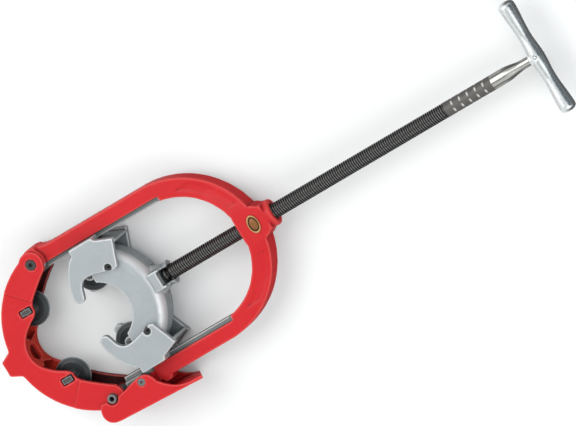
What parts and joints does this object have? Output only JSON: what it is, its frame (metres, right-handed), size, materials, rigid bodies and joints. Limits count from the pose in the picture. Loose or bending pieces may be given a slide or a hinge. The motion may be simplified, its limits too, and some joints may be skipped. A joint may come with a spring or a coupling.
{
  "type": "pipe cutter",
  "caption": "Hinged wheel-type pipe cutter: swing jaw, sliding wheel carriage on rails, feed screw with T-handle and latch lever.",
  "frame": {"origin": "middle of the flat foot on the jaw's outer end, half way through the cutter's thickness", "axes": "+X along the feed screw from the jaw towards the T-handle, +Y towards the jaw's hinge, +Z out of the cutter's flat side"},
  "size_m": [0.8318, 0.2528, 0.075],
  "materials": {
    "red_paint": "semi-gloss enamel over a casting",
    "grey_casting": "fine satin casting",
    "zinc_handle": "smooth satin die casting",
    "black_oxide": "oiled black oxide",
    "wheel_steel": "blackened tool steel",
    "pin_steel": "plain ground steel",
    "bronze": "turned bronze",
    "gold_badge": "plain stamped foil"
  },
  "bodies": {
    "frame": {"yoke_frame": "red_paint", "feed_nut": "bronze", "oval_badge": "gold_badge", "hinge_pin": "black_oxide", "latch_pivot_pin": "pin_steel", "latch_spring": "pin_steel"},
    "jaw": {"lower_jaw": "red_paint", "catch_pin": "pin_steel", "jaw_wheel_pin_upper": "pin_steel", "jaw_wheel_pin_lower": "pin_steel"},
    "carriage": {"slide": "grey_casting", "rail_guide_upper": "grey_casting", "rail_guide_lower": "grey_casting", "guide_pin_upper": "black_oxide", "guide_pin_lower": "black_oxide", "slide_wheel_pin_upper": "pin_steel", "slide_wheel_pin_lower": "pin_steel", "screw_retainer": "pin_steel"},
    "screw": {"feed_screw": "black_oxide", "t_handle": "zinc_handle", "handle_pin": "pin_steel"},
    "latch": {"latch_lever": "red_paint"},
    "jaw_wheel_upper": {"jaw_cutter_wheel_upper": "wheel_steel"},
    "jaw_wheel_lower": {"jaw_cutter_wheel_lower": "wheel_steel"},
    "slide_wheel_upper": {"slide_cutter_wheel_upper": "wheel_steel"},
    "slide_wheel_lower": {"slide_cutter_wheel_lower": "wheel_steel"}
  },
  "joints": [
    {"name": "slide_feed", "type": "slide", "parent": "frame", "child": "carriage", "axis": [1, 0, 0], "range_m": [-0.0149, 0.0961]},
    {"name": "screw_turn", "type": "hinge", "parent": "carriage", "child": "screw", "pos_m": [0.404, 0, 0], "axis": [1, 0, 0], "range_deg": [-1700, 10900]},
    {"name": "jaw_swing", "type": "hinge", "parent": "frame", "child": "jaw", "pos_m": [0.104, 0.0995, 0], "axis": [0, 0, -1], "range_deg": [0, 100]},
    {"name": "latch_press", "type": "hinge", "parent": "frame", "child": "latch", "pos_m": [0.151, -0.1, 0], "axis": [0, 0, 1], "range_deg": [0, 9]},
    {"name": "jaw_wheel_upper_spin", "type": "hinge", "parent": "jaw", "child": "jaw_wheel_upper", "pos_m": [0.06408, 0.0506, 0], "axis": [0, 0, 1], "continuous": true},
    {"name": "jaw_wheel_lower_spin", "type": "hinge", "parent": "jaw", "child": "jaw_wheel_lower", "pos_m": [0.06408, -0.0506, 0], "axis": [0, 0, 1], "continuous": true},
    {"name": "slide_wheel_upper_spin", "type": "hinge", "parent": "carriage", "child": "slide_wheel_upper", "pos_m": [0.16, 0.0506, 0], "axis": [0, 0, 1], "continuous": true},
    {"name": "slide_wheel_lower_spin", "type": "hinge", "parent": "carriage", "child": "slide_wheel_lower", "pos_m": [0.16, -0.0506, 0], "axis": [0, 0, 1], "continuous": true}
  ],
  "couplings": [
    {"joint": "screw_turn", "follows": "slide_feed", "rad_per_m": 1979}
  ]
}
